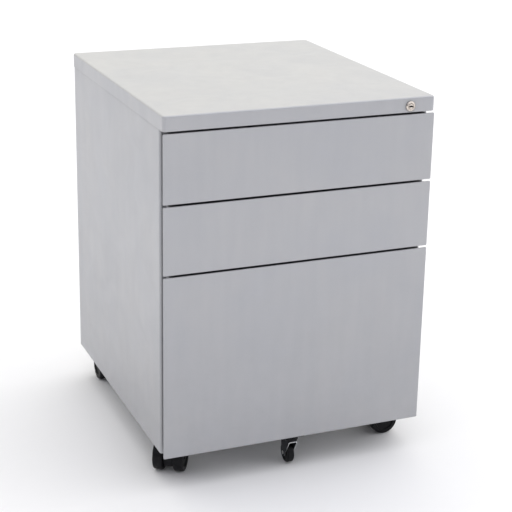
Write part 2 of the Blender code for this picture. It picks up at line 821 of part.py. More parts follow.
def make_fifth_bracket(drawer_slide, looks):
    """The plate under the drawer's front, with the race and the kingpin that the fork turns on."""
    plate_top = FILE_FRONT_BOTTOM - CLEARANCE
    plate = box(
        "fifth_castor_bracket",
        (-PLATE_HALF, depth(PLATE_FRONT), plate_top - PLATE_THICKNESS),
        (PLATE_HALF, depth(PLATE_BACK), plate_top),
        looks["black"],
        drawer_slide,
    )
    race_low = FORK_TOP + CLEARANCE
    head_low = FORK_TOP - FORK_SHEET - CLEARANCE - KINGPIN_HEAD_HEIGHT
    head_top = head_low + KINGPIN_HEAD_HEIGHT
    profile = [
        (0.0, plate_top - PLATE_THICKNESS / 2),
        (RACE_RADIUS, plate_top - PLATE_THICKNESS / 2),
        (RACE_RADIUS, race_low + RACE_TAPER),
        (RACE_FOOT_RADIUS, race_low),
        (KINGPIN_RADIUS, race_low),
        (KINGPIN_RADIUS, head_top),
        (KINGPIN_HEAD_RADIUS, head_top),
        (KINGPIN_HEAD_RADIUS, head_low),
        (0.0, head_low),
    ]
    race = turned("race", profile[::-1], "Z", 24)
    race.location = (0.0, depth(FIFTH_SWIVEL), 0.0)
    join(plate, race)


def make_fork(axle_at, swivel, looks):
    """A strip bent over the wheel. Its legs narrow down to round ends at the axle."""
    leg = circle(axle_at, FORK_END_RADIUS, 8, math.radians(190), math.radians(350))
    leg += [(FORK_BACK, FORK_TOP - 0.004), (FORK_BACK, FORK_TOP)]
    leg += [(FORK_FRONT, FORK_TOP), (FORK_FRONT, FORK_TOP - 0.003)]
    fork = prism("fifth_castor_fork", leg, "X", -FORK_HALF, FORK_HALF, looks["zinc"], swivel)
    throat = box(
        "throat",
        (-FORK_HALF + FORK_SHEET, 2 * FORK_FRONT, -SHEET),
        (FORK_HALF - FORK_SHEET, 2 * FORK_BACK, FORK_TOP - FORK_SHEET),
    )
    cut(fork, throat)
    pin_hole = circle((0.0, 0.0), KINGPIN_RADIUS + CLEARANCE, 12)
    cut(fork, prism("pin_hole", pin_hole, "Z", FORK_TOP - 2 * FORK_SHEET, FORK_TOP + SHEET))
    axle_hole = circle(axle_at, RIVET_RADIUS + CLEARANCE, 12)
    cut(fork, prism("axle_hole", axle_hole, "X", -FORK_HALF - SHEET, FORK_HALF + SHEET))


def make_fifth_castor(drawer_slide, looks):
    """A small forked castor under the file drawer's front. Its wheel clears the floor by a little."""
    make_fifth_bracket(drawer_slide, looks)
    swivel = pivot("fifth_castor_swivel", (0.0, depth(FIFTH_SWIVEL), 0.0))
    axle_at = (FIFTH_TRAIL, FIFTH_RADIUS + FIFTH_LIFT)
    make_fork(axle_at, swivel, looks)
    rivet = [
        (0.0, -FORK_HALF - RIVET_HEAD),
        (RIVET_HEAD_RADIUS, -FORK_HALF - RIVET_HEAD),
        (RIVET_HEAD_RADIUS, -FORK_HALF - CLEARANCE),
        (RIVET_RADIUS, -FORK_HALF - CLEARANCE),
        (RIVET_RADIUS, FORK_HALF + CLEARANCE),
        (RIVET_HEAD_RADIUS, FORK_HALF + CLEARANCE),
        (RIVET_HEAD_RADIUS, FORK_HALF + RIVET_HEAD),
        (0.0, FORK_HALF + RIVET_HEAD),
    ]
    axle = turned("fifth_castor_axle", rivet, "X", 12, looks["zinc"], swivel)
    axle.location = (0.0, *axle_at)
    half = FIFTH_WIDTH / 2
    radius = flat_down(FIFTH_RADIUS, WHEEL_STEPS)
    edge = FIFTH_ROUND
    tread = [
        (FIFTH_BORE, -half),
        (radius - edge, -half),
        (radius - edge * 0.3, -half + edge * 0.3),
        (radius, -half + edge),
        (radius, half - edge),
        (radius - edge * 0.3, half - edge * 0.3),
        (radius - edge, half),
        (FIFTH_BORE, half),
    ]
    wheel = turned("fifth_castor_wheel", tread, "X", WHEEL_STEPS, looks["black"], swivel)
    wheel.location = (0.0, *axle_at)
    wheel.rotation_euler = (math.pi / WHEEL_STEPS, 0.0, 0.0)


def main():
    for leftover in list(bpy.data.objects):
        bpy.data.objects.remove(leftover)
    looks = {
        "paint": material("silver_powder_coat", (0.52, 0.53, 0.54), 0.45, 0.35),
        "tray": material("tray_powder_coat", (0.50, 0.51, 0.52), 0.50, 0.30),
        "zinc": material("zinc_plated_steel", (0.62, 0.62, 0.63), 0.35, 1.0),
        "nickel": material("nickel_plate", (0.72, 0.69, 0.65), 0.25, 1.0),
        "black": material("black_nylon", (0.012, 0.012, 0.014), 0.40, 0.0),
    }
    make_top_cover(looks["paint"])
    make_side_panel("left_side_panel", -1, looks["paint"])
    make_side_panel("right_side_panel", 1, looks["paint"])
    make_back_panel(looks["paint"])
    make_base_pan(looks["paint"])
    make_front_top_rail(looks["paint"])
    slides = [make_drawer(drawer, looks) for drawer in DRAWERS]
    make_lock_housing(looks)
    make_lock_plug(looks)
    make_lock_bar(looks)
    make_lock_bar_guides(looks)
    for name, place in castor_places().items():
        make_castor_stem(name, place, looks)
        make_castor(name, place, looks)
    make_fifth_castor(slides[-1], looks)


main()
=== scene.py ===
"""Looks of the rolling pedestal cabinet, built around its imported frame.

Every sheet-metal piece is rebuilt with its real folds, every moulded or turned piece with its real
rounding, and all of them get procedural finishes. Metres, +Z up, the drawers open towards -Y.
"""

import json
import math

import bmesh
import bpy
from mathutils import Matrix, Vector


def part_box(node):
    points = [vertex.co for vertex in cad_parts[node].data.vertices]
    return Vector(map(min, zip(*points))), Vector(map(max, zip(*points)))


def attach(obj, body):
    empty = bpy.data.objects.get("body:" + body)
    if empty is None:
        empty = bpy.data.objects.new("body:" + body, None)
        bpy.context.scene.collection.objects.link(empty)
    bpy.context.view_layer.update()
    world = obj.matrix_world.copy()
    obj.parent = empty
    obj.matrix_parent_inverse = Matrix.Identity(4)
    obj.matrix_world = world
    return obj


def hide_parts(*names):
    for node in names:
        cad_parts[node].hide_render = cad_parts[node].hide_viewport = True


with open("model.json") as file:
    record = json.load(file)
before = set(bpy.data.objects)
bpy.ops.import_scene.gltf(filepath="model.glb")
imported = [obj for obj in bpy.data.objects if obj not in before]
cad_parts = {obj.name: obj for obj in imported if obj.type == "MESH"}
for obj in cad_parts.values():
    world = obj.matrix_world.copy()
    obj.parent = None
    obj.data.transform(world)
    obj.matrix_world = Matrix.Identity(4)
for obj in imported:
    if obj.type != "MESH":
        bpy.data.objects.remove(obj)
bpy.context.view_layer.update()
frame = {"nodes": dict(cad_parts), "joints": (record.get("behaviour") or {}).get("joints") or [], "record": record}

# Names that repeat.
SIDES = (("left", -1), ("right", 1))
DRAWERS = ("upper", "middle", "file")
CASTORS = ("front_left", "front_right", "back_left", "back_right")

# CAD nodes that keep their own shape, besides the drawers' catches and the castors' stems and axles.
KEPT = (
    "lock_nut",
    "lock_cam",
    "lock_bar",
    "upper_lock_bar_guide",
    "lower_lock_bar_guide",
    "fifth_castor_axle",
)

# Sheet metal.
SHEET = 0.0012
FOLD = 0.0019
INNER_FOLD = FOLD - SHEET
CUT_EDGE = 0.0002
SOFT_EDGE = 0.0003
ARC_STEPS = 6
FLAT_CAP = 0.004
LID_CORNER = 0.0060
LID_FOLD = 0.0030
FRONT_FOLD = 0.0045

# Carcass.
FLANGE_IN = 0.217
STEM_HOLE = 0.0053
LID_HOLE_PLAY = 0.0004
RAIL_HOLE_PLAY = 0.0006

# Drawer fronts and trays.
HEM = 0.0024
FRONT_CORNER = 0.0022
PAN_HALF = 0.219
TRAY_RIM = 0.006
TRAY_CORNER = 0.003

# Runners.
MEMBER_WEB = 0.2210
SPACER_INSET = 0.010
SPACER_LENGTH = 0.030

# Lock.
BEZEL = 0.00825
BARREL = 0.006
PLUG = 0.0043
KEYWAY_DEPTH = 0.012
LOCK_PROUD = 0.003
PLUG_SUNK = 0.0003
PLUG_PLAY = 0.0001
KEYWAY_DROP = 0.0044
KEYWAY_OUTER = 0.0059
KEYWAY_INNER = 0.0034
KEYWAY_REACH = (45, 135)

# Castors.
WHEEL = 0.025
WHEEL_WIDTH = 0.017
WHEEL_SPACING = 0.035
WHEEL_STEPS = 72
TRAIL = 0.020
HOOD_TOP = 0.0555
HOOD_BASE = 0.031
HOOD_BOSS = 0.0095
HOOD_WEB = 0.019
FENDER_IN = 0.0262
FENDER_OUT = 0.0282
FENDER_REACH = (25.0, 165.0)
STEM_BORE = 0.0043
STEM_LOW = 0.0315
HOOD_PLAY = 0.0006
TREAD_ROUND = 0.0028
RIM_OUT = 0.0175
RIM_IN = 0.0165
HUB = 0.0050
AXLE_BORE = 0.0031

# Fifth castor.
FORK_SHEET = 0.0015
FORK_BEND = 0.0032
FIFTH_TRAIL = 0.013
FIFTH_WHEEL = 0.0175
FIFTH_WIDTH = 0.012
FIFTH_BORE = 0.0023
FIFTH_ROUND = 0.0030
FIFTH_DISH = 0.0018
LEG_RADIUS = 0.0065
LEG_BACK = FIFTH_TRAIL + 0.010
LEG_POINTS = 10
STRIP_STEP = 0.0015
PLATE = 0.002
PLATE_CORNER = 0.004
RACE = 0.0120
RACE_FOOT = 0.0095
RACE_TAPER = 0.004
RACE_GAP = 0.0003
KINGPIN = 0.0030
KINGPIN_HEAD = 0.0055

# Camera: place, direction in degrees, lens in mm.
CAMERA_AT = (-0.8694, -2.1637, 1.1170)
CAMERA_AZIMUTH = 22.517
CAMERA_ELEVATION = 18.145
CAMERA_ROLL = 1.082
LENS = 97.91
SENSOR = 36.0
SHIFT_Y = -0.0596

# How much painted shade darkens the paint just above the floor.
FLOOR_SHADE = 0.16
FLOOR_SHADE_COLOUR = (0.16, 0.155, 0.15)

# The studio's light: a soft glow on each side, as (axis, sign, strength, colour).
SKY = (
    (2, 1, 1.67, (0.99, 0.99, 1.03)),
    (0, 1, 1.49, (1.0, 1.0, 1.0)),
    (0, -1, 0.32, (0.98, 0.99, 1.12)),
    (1, 1, 1.21, (1.06, 1.03, 0.88)),
    (1, -1, 0.22, (0.98, 0.99, 1.12)),
)

# The backdrop beyond the floor's far edge, and half the floor's width.
BACKDROP = (1.0, 1.0, 1.0)
FLOOR_HALF = 12.0


# Shapes


def fillet(corners, closed=True):
    """Rounds a path of (x, y, radius) corners. An open path keeps its two ends as they are."""
    path = []
    for i, (x, y, radius) in enumerate(corners):
        here = Vector((x, y))
        is_end = not closed and i in (0, len(corners) - 1)
        if is_end or radius <= 0:
            path.append(here)
            continue
        before = (Vector(corners[i - 1][:2]) - here).normalized()
        after = (Vector(corners[(i + 1) % len(corners)][:2]) - here).normalized()
        half = before.angle(after) / 2
        centre = here + (before + after).normalized() * radius / math.sin(half)
        start = here + before * radius / math.tan(half) - centre
        end = here + after * radius / math.tan(half) - centre
        first = math.atan2(start.y, start.x)
        sweep = (math.atan2(end.y, end.x) - first + math.pi) % math.tau - math.pi
        steps = max(2, round(ARC_STEPS * abs(sweep) / (math.pi / 2)))
        for k in range(steps + 1):
            angle = first + sweep * k / steps
            path.append(centre + radius * Vector((math.cos(angle), math.sin(angle))))
    return path


def arc(centre, radius, steps, first, last):
    """Points on an arc between two angles in degrees."""
    angles = [math.radians(first + (last - first) * i / steps) for i in range(steps + 1)]
    return [(centre[0] + radius * math.cos(a), centre[1] + radius * math.sin(a)) for a in angles]


def skin(rows, ring=True, rows_closed=False, caps=True):
    """Joins rows of points with quads, and caps the first and last row."""
    made = bmesh.new()
    verts = [[made.verts.new(point) for point in row] for row in rows]
    pairs = list(zip(verts, verts[1:]))
    if rows_closed:
        pairs.append((verts[-1], verts[0]))
    count = len(verts[0])
    for low, high in pairs:
        for i in range(count if ring else count - 1):
            j = (i + 1) % count
            made.faces.new((low[i], low[j], high[j], high[i]))
    if caps and not rows_closed:
        made.faces.new(verts[0][::-1])
        made.faces.new(verts[-1])
    bmesh.ops.recalc_face_normals(made, faces=made.faces)
    return made


def piece(name, meshes, looks, place=None, bevel=0.0, sharp=40.0):
    """One object from one or more bmeshes, smooth across shallow edges, with flats kept flat."""
    mesh = bpy.data.meshes.new(name)
    whole = bmesh.new()
    for part in meshes if isinstance(meshes, list) else [meshes]:
        part.to_mesh(mesh)
        part.free()
        whole.from_mesh(mesh)
    if place is not None:
        bmesh.ops.transform(whole, matrix=place, verts=whole.verts)
    whole.to_mesh(mesh)
    whole.free()
    mesh.shade_smooth()
    mesh.set_sharp_from_angle(angle=math.radians(sharp))
    mesh.materials.append(looks)
    made = bpy.data.objects.new(name, mesh)
    bpy.context.scene.collection.objects.link(made)
    if bevel:
        round_off(made, bevel)
    even_normals(made)
    return made


def round_off(made, width, segments=3):
    """Rounds a piece's edges."""
    modifier = made.modifiers.new("edges", "BEVEL")
    modifier.width = width
    modifier.segments = segments
    modifier.limit_method = "ANGLE"
    modifier.angle_limit = math.radians(35)
    modifier.use_clamp_overlap = True


def even_normals(made):
    """Shades large flats flat, next to rounded edges."""
    modifier = made.modifiers.new("normals", "WEIGHTED_NORMAL")
    modifier.keep_sharp = True
    modifier.weight = 90


def cut(made, tool_mesh, looks=None):
    """Cuts a closed mesh out of a piece, before the modifiers that follow. The cut can have its own looks."""
    mesh = bpy.data.meshes.new("tool")
    if looks is not None:
        mesh.materials.append(looks)
    tool_mesh.to_mesh(mesh)
    tool_mesh.free()
    tool = bpy.data.objects.new("tool", mesh)
    bpy.context.scene.collection.objects.link(tool)
    modifier = made.modifiers.new("cut", "BOOLEAN")
    modifier.operation = "DIFFERENCE"
    modifier.solver = "EXACT"
    modifier.material_mode = "TRANSFER"
    modifier.object = tool
    bpy.context.view_layer.update()
    graph = bpy.context.evaluated_depsgraph_get()
    others = [m for m in made.modifiers if m != modifier]
    shown = [m.show_viewport for m in others]
    for other in others:
        other.show_viewport = False
    graph.update()
    result = bpy.data.meshes.new_from_object(made.evaluated_get(graph))
    for other, was_shown in zip(others, shown):
        other.show_viewport = was_shown
    made.modifiers.remove(modifier)
    old = made.data
    made.data = result
    bpy.data.meshes.remove(old)
    bpy.data.objects.remove(tool)


def rounded_rectangle(half, radius):
    """Outline of a rectangle about the origin, with the same number of points at every radius."""
    a, b = half
    points = []
    for start, cx, cy in ((0, a, b), (90, -a, b), (180, -a, -b), (270, a, -b)):
        inward = (math.copysign(radius, cx), math.copysign(radius, cy))
        points += arc((cx - inward[0], cy - inward[1]), radius, ARC_STEPS, start, start + 90)
    return points


def shell(low, high, axis, profile, corner):
    """Sweeps a profile of (inset, distance along the axis) points round a rectangle and caps its ends.

    A profile whose ends meet is a wall without caps."""
    across = [i for i in range(3) if i != "XYZ".index(axis)]
    centre = [(low[i] + high[i]) / 2 for i in across]
    half = [(high[i] - low[i]) / 2 for i in across]
    rows = []
    for inset, along in profile:
        radius = max(corner - inset, 0.0003)
        row = []
        for x, y in rounded_rectangle((half[0] - inset, half[1] - inset), radius):
            point = [along, along, along]
            point[across[0]] = centre[0] + x
            point[across[1]] = centre[1] + y
            row.append(point)
        rows.append(row)
    is_wall = (Vector(profile[0]) - Vector(profile[-1])).length < 1e-7
    if is_wall:
        rows.pop()
    return skin(rows, rows_closed=is_wall)


def prism(outline, axis, start, end):
    """Extrudes a closed outline, whose points hold the other two axes in order."""
    across = [i for i in range(3) if i != "XYZ".index(axis)]
    rows = []
    for along in (start, end):
        row = []
        for x, y in outline:
            point = [along, along, along]
            point[across[0]] = x
            point[across[1]] = y
            row.append(point)
        rows.append(row)
    return skin(rows)


def turned(profile, axis, steps=WHEEL_STEPS):
    """Spins a profile of (radius, distance along the axis) points, whose first and last radius are 0."""
    made = bmesh.new()
    verts = [made.verts.new((radius, 0.0, along)) for radius, along in profile]
    edges = [made.edges.new(pair) for pair in zip(verts, verts[1:])]
    bmesh.ops.spin(
        made,
        geom=verts + edges,
        cent=(0, 0, 0),
        axis=(0, 0, 1),
        angle=math.tau,
        steps=steps,
        use_merge=True,
    )
    bmesh.ops.remove_doubles(made, verts=made.verts, dist=1e-6)
    turn = {"X": Matrix.Rotation(math.pi / 2, 4, "Y"), "Y": Matrix.Rotation(-math.pi / 2, 4, "X")}
    if axis in turn:
        bmesh.ops.transform(made, matrix=turn[axis], verts=made.verts)
    bmesh.ops.recalc_face_normals(made, faces=made.faces)
    return made


def rounded_turn(corners):
    """A turned profile from (radius, along, rounding) corners."""
    return [tuple(point) for point in fillet(corners, closed=False)]


# Finishes


class Finish:
    """A Principled material with a few lines of help for its nodes."""

    def __init__(self, name, colour, roughness, metallic=0.0, **sockets):
        self.material = bpy.data.materials.new(name)
        self.material.use_nodes = True
        self.tree = self.material.node_tree
        self.shader = self.tree.nodes["Principled BSDF"]
        self.shader.inputs["Base Color"].default_value = (*colour, 1.0)
        self.shader.inputs["Roughness"].default_value = roughness
        self.shader.inputs["Metallic"].default_value = metallic
        for socket, value in sockets.items():
            self.shader.inputs[socket.replace("_", " ")].default_value = value
        self.place = self.node("ShaderNodeTexCoord").outputs["Object"]

    def node(self, kind, settings=None, **inputs):
        made = self.tree.nodes.new(kind)
        for key, value in (settings or {}).items():
            setattr(made, key, value)
        for key, value in inputs.items():
            socket = made.inputs[key.replace("_", " ")]
            if isinstance(value, bpy.types.NodeSocket):
                self.tree.links.new(value, socket)
            else:
                socket.default_value = value
        return made

    def stretch(self, scale):
        return self.node("ShaderNodeMapping", Vector=self.place, Scale=scale).outputs["Vector"]

    def noise(self, scale, detail=3.0, roughness=0.5, at=None, distortion=0.0):
        made = self.node(
            "ShaderNodeTexNoise",
            Vector=at or self.place,
            Scale=scale,
            Detail=detail,
            Roughness=roughness,
            Distortion=distortion,
        )
        return made.outputs["Fac"]

    def cells(self, scale, at=None):
        made = self.node("ShaderNodeTexVoronoi", Vector=at or self.place, Scale=scale)
        return made.outputs["Color"]

    def spread(self, value, low, high, start=0.0, end=1.0):
        """Maps start..end to low..high."""
        made = self.node("ShaderNodeMapRange", Value=value)
        made.inputs["From Min"].default_value = start
        made.inputs["From Max"].default_value = end
        made.inputs["To Min"].default_value = low
        made.inputs["To Max"].default_value = high
        return made.outputs["Result"]

    def blend(self, amount, first, second, mode="MIX"):
        made = self.node("ShaderNodeMix", {"data_type": "RGBA", "blend_type": mode})
        for socket, value in ((0, amount), (6, first), (7, second)):
            if isinstance(value, bpy.types.NodeSocket):
                self.tree.links.new(value, made.inputs[socket])
            elif socket == 0:
                made.inputs[socket].default_value = value
            else:
                made.inputs[socket].default_value = (*value, 1.0)
        return made.outputs[2]

    def painted_gap_shade(self, base, dark, reach=0.022):
        """Painted shade: darkens what lies in a narrow gap or under a ledge, by how closely it is hemmed in."""
        shelter = self.node("ShaderNodeAmbientOcclusion", {"samples": 4}, Distance=reach)
        return self.blend(self.spread(shelter.outputs["AO"], 1.0, 0.0, 0.10, 0.93), base, dark)

    def bump(self, height, distance, strength=1.0, after=None):
        made = self.node("ShaderNodeBump", Height=height, Distance=distance, Strength=strength)
        if after is not None:
            self.tree.links.new(after, made.inputs["Normal"])
        return made.outputs["Normal"]

    def set(self, socket, value):
        self.tree.links.new(value, self.shader.inputs[socket])


def powder_coat(name, colour, reflection_tint, roughness, metallic):
    """Sprayed and baked paint: orange peel and fine metal flake, with soft clouds and vertical streaks painted in
    as soft reflections, painted shade in gaps and under ledges, and painted shade near the floor.
    """
    finish = Finish(name, colour, roughness, metallic)
    # The soft clouds and the vertical streaks are painted soft reflections.
    clouds = finish.noise(9.0, 4.0, 0.55, distortion=0.6)
    reflection_streaks = finish.noise(1.0, 3.0, 0.5, finish.stretch((55.0, 55.0, 7.0)))
    base = finish.blend(finish.spread(clouds, 0.0, 1.0, 0.3, 0.7), colour, reflection_tint)
    reflection_dark = tuple(0.955 * c for c in colour)
    base = finish.blend(finish.spread(reflection_streaks, 0.0, 0.5, 0.35, 0.75), base, reflection_dark)
    flake = finish.node("ShaderNodeSeparateColor", Color=finish.cells(2600.0)).outputs["Red"]
    lighter = tuple(min(1.0, 1.16 * c) for c in colour)
    base = finish.blend(finish.spread(flake, 0.0, 0.35, 0.72, 1.0), base, lighter)
    # Painted shade, darker towards the floor.
    base = painted_floor_shade(finish, base)
    # Painted shade darkens the paint in gaps and under ledges.
    finish.set("Base Color", finish.painted_gap_shade(base, tuple(0.12 * c for c in colour)))
    wiped = finish.noise(14.0, 5.0, 0.6, distortion=1.2)
    finish.set("Roughness", finish.spread(wiped, roughness - 0.045, roughness + 0.055, 0.3, 0.7))
    peel = finish.bump(finish.noise(620.0, 2.0, 0.45), 0.000045)
    finish.set("Normal", finish.bump(finish.noise(2300.0, 1.0, 0.5), 0.000012, after=peel))
    return finish.material


def painted_floor_shade(finish, base):
    """Painted shade, in patches, that darkens the paint near the floor and thins out with height."""
    height = finish.node("ShaderNodeSeparateXYZ", Vector=finish.place).outputs["Z"]
    shade_patches = finish.spread(finish.noise(30.0, 5.0, 0.6), 0.7, 1.0, 0.3, 0.6)
    low_down = finish.node("ShaderNodeMath", {"operation": "MULTIPLY"})
    finish.tree.links.new(finish.spread(height, FLOOR_SHADE, 0.0, 0.06, 0.40), low_down.inputs[0])
    finish.tree.links.new(shade_patches, low_down.inputs[1])
    return finish.blend(low_down.outputs["Value"], base, FLOOR_SHADE_COLOUR)


def zinc_plate(name):
    """Bright zinc on rolled steel: a bluish cast with faint yellow, long rolling lines, fine scuffs."""
    finish = Finish(name, (0.60, 0.61, 0.63), 0.34, 1.0)
    patches = finish.noise(60.0, 4.0, 0.6, distortion=0.8)
    base = finish.blend(finish.spread(patches, 0.0, 1.0, 0.35, 0.7), (0.57, 0.59, 0.63), (0.66, 0.645, 0.61))
    spangle = finish.node("ShaderNodeSeparateColor", Color=finish.cells(420.0)).outputs["Green"]
    base = finish.blend(finish.spread(spangle, 0.0, 0.22), base, (0.72, 0.73, 0.75))
    finish.set("Base Color", base)
    lines = finish.noise(1.0, 4.0, 0.65, finish.stretch((1700.0, 26.0, 1700.0)))
    finish.set("Roughness", finish.spread(lines, 0.25, 0.47, 0.3, 0.7))
    finish.set("Normal", finish.bump(lines, 0.00002))
    return finish.material


def nickel_plate(name):
    """Polished nickel with fine turning marks and a warm cast."""
    finish = Finish(name, (0.66, 0.60, 0.54), 0.16, 1.0)
    haze = finish.noise(500.0, 4.0, 0.6)
    finish.set("Base Color", finish.blend(haze, (0.70, 0.645, 0.59), (0.60, 0.545, 0.49)))
    scratches = finish.noise(1.0, 5.0, 0.7, finish.stretch((4200.0, 900.0, 4200.0)), 0.4)
    finish.set("Roughness", finish.spread(scratches, 0.10, 0.27, 0.3, 0.7))
    finish.set("Normal", finish.bump(scratches, 0.000008))
    return finish.material


def black_plate(name):
    """Black passivated zinc: dark, blue-violet, cloudy from the bath and rubbed lighter in places."""
    finish = Finish(name, (0.02, 0.021, 0.026), 0.36, 0.35, Specular_IOR_Level=0.3)
    bath = finish.noise(130.0, 4.0, 0.6, distortion=0.9)
    clouds = finish.spread(bath, 0.0, 1.0, 0.32, 0.7)
    base = finish.blend(clouds, (0.016, 0.017, 0.022), (0.034, 0.035, 0.044))
    rubbed = finish.noise(420.0, 5.0, 0.7)
    base = finish.blend(finish.spread(rubbed, 0.0, 0.6, 0.62, 0.8), base, (0.10, 0.10, 0.105))
    finish.set("Base Color", base)
    finish.set("Roughness", finish.spread(bath, 0.28, 0.46, 0.3, 0.7))
    finish.set("Normal", finish.bump(rubbed, 0.00002))
    return finish.material


def key_shadow(name):
    """Painted shade for the inside of the keyway: near black, so the slot reads dark."""
    finish = Finish(name, (0.015, 0.011, 0.009), 0.6)
    painted_gap_shade = finish.noise(1500.0, 3.0)
    finish.set("Base Color", finish.blend(painted_gap_shade, (0.008, 0.006, 0.005), (0.03, 0.022, 0.016)))
    finish.set("Normal", finish.bump(painted_gap_shade, 0.00003))
    return finish.material


def moulded_nylon(name, colour, roughness, scuff):
    """Black moulded nylon: fine spark-eroded grain, soft flow clouds and greyish scuffs."""
    finish = Finish(name, colour, roughness, Specular_IOR_Level=0.15)
    flow = finish.noise(75.0, 4.0, 0.6, distortion=1.0)
    worn = finish.noise(260.0, 5.0, 0.65, distortion=0.5)
    grey = tuple(c + scuff for c in colour)
    base = finish.blend(finish.spread(flow, 0.0, 0.55, 0.35, 0.7), colour, tuple(1.7 * c for c in colour))
    finish.set("Base Color", finish.blend(finish.spread(worn, 0.0, 0.7, 0.58, 0.76), base, grey))
    finish.set("Roughness", finish.spread(worn, roughness - 0.06, roughness + 0.14, 0.35, 0.7))
    finish.set("Normal", finish.bump(finish.noise(3400.0, 2.0, 0.5), 0.00002))
    return finish.material


paint = powder_coat("silver_powder_coat", (0.462, 0.469, 0.492), (0.486, 0.487, 0.499), 0.38, 0.30)
tray_paint = powder_coat("tray_powder_coat", (0.40, 0.407, 0.42), (0.43, 0.432, 0.44), 0.42, 0.25)
zinc = zinc_plate("zinc_plated_steel")
nickel = nickel_plate("nickel_plate")
nylon = moulded_nylon("black_nylon", (0.006, 0.006, 0.0075), 0.34, 0.015)
tread = moulded_nylon("tyre_nylon", (0.007, 0.007, 0.008), 0.42, 0.03)
black_zinc = black_plate("black_passivated_zinc")
bare_steel = zinc_plate("sheared_edge")
keyway_painted_shade = key_shadow("keyway_painted_shade")


# What stands for what


def joint(name):
    return next(j for j in frame["joints"] if j["name"] == name)


def body_of(node):
    bodies = frame["record"]["behaviour"]["bodies"]
    return next(body for body, nodes in bodies.items() if node in nodes)


def stands_for(made, node):
    """The piece replaces that CAD node and rides on its body."""
    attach(made, body_of(node))
    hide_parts(node)


# Carcass


def make_top_cover():
    low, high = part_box("top_cover")
    profile = fillet(
        (
            (FLAT_CAP, high.z, 0.0),
            (0.0, high.z, LID_FOLD),
            (0.0, low.z, SHEET / 2),
            (SHEET, low.z, SHEET / 3),
            (SHEET, high.z - SHEET, LID_FOLD - SHEET),
            (FLAT_CAP, high.z - SHEET, 0.0),
        ),
        closed=False,
    )
    cover = piece("lid", shell(low, high, "Z", profile, LID_CORNER), paint)
    axis = joint("lock_turn")["pos_m"]
    hole = arc((axis[0], axis[2]), BARREL + LID_HOLE_PLAY, 36, 0, 350)
    cut(cover, prism(hole, "Y", low.y - SHEET, low.y + 2 * SHEET))
    stands_for(cover, "top_cover")


def make_side_panel(side, sign):
    """A sheet folded twice at the back and once at the front."""
    node = f"{side}_side_panel"
    low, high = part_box(node)
    out = max(abs(low.x), abs(high.x))
    rear = min(abs(low.x), abs(high.x))
    corners = (
        (FLANGE_IN, low.y, CUT_EDGE),
        (out, low.y, FRONT_FOLD),
        (out, high.y, FOLD),
        (rear, high.y, CUT_EDGE),
        (rear, high.y - SHEET, CUT_EDGE),
        (out - SHEET, high.y - SHEET, INNER_FOLD),
        (out - SHEET, low.y + SHEET, FRONT_FOLD - SHEET),
        (FLANGE_IN, low.y + SHEET, CUT_EDGE),
    )
    outline = [(sign * x, y) for x, y in fillet(corners)]
    made = piece(f"{side}_side", prism(outline, "Z", low.z, high.z), paint)
    stands_for(made, node)


def make_flat_sheet(name, node, looks):
    low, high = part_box(node)
    edge = CUT_EDGE
    corners = ((low.x, low.y, edge), (high.x, low.y, edge), (high.x, high.y, edge), (low.x, high.y, edge))
    stands_for(piece(name, prism(fillet(corners), "Z", low.z, high.z), looks), node)


def make_base_pan():
    low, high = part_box("base_pan")
    profile = fillet(
        (
            (FLAT_CAP, low.z, 0.0),
            (0.0, low.z, FOLD),
            (0.0, high.z, CUT_EDGE),
            (SHEET, high.z, CUT_EDGE),
            (SHEET, low.z + SHEET, INNER_FOLD),
            (FLAT_CAP, low.z + SHEET, 0.0),
        ),
        closed=False,
    )
    made = piece("floor_pan", shell(low, high, "Z", profile, FOLD + 0.0003), paint)
    for name in CASTORS:
        at = joint(f"{name}_castor_swivel")["pos_m"]
        hole = arc((at[0], at[1]), STEM_HOLE, 24, 0, 345)
        cut(made, prism(hole, "Z", low.z - SHEET, low.z + 2 * SHEET))
    stands_for(made, "base_pan")


def make_front_rail():
    low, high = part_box("front_top_rail")
    corners = (
        (low.y, low.z, CUT_EDGE),
        (low.y + SHEET, low.z, CUT_EDGE),
        (low.y + SHEET, high.z - SHEET, INNER_FOLD),
        (high.y, high.z - SHEET, CUT_EDGE),
        (high.y, high.z, CUT_EDGE),
        (low.y, high.z, FOLD),
    )
    made = piece("front_rail", prism(fillet(corners), "X", low.x, high.x), paint)
    axis = joint("lock_turn")["pos_m"]
    hole = arc((axis[0], axis[2]), BARREL + RAIL_HOLE_PLAY, 36, 0, 350)
    cut(made, prism(hole, "Y", low.y - SHEET, low.y + 2 * SHEET))
    stands_for(made, "front_top_rail")


# Drawers


def make_front(drawer):
    """A skin with rounded hems, and the walls of the narrower pan behind it."""
    node = f"{drawer}_drawer_front"
    low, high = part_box(node)
    front = low.y
    hem = fillet(
        (
            (FLAT_CAP, front, 0.0),
            (0.0, front, HEM * 0.48),
            (0.0, front + HEM, HEM * 0.48),
            (FLAT_CAP, front + HEM, 0.0),
        ),
        closed=False,
    )
    face = shell(low, high, "Y", hem, FRONT_CORNER)
    pan_low = Vector((-PAN_HALF, low.y, low.z + SHEET))
    pan_high = Vector((PAN_HALF, high.y, high.z - SHEET))
    wall = fillet(
        (
            (0.0, front + HEM / 2, 0.0),
            (0.0, high.y, CUT_EDGE),
            (SHEET, high.y, CUT_EDGE),
            (SHEET, front + HEM / 2, 0.0),
            (0.0, front + HEM / 2, 0.0),
        ),
        closed=False,
    )
    pan = shell(pan_low, pan_high, "Y", wall, FOLD)
    stands_for(piece(f"{drawer}_front", [face, pan], paint), node)


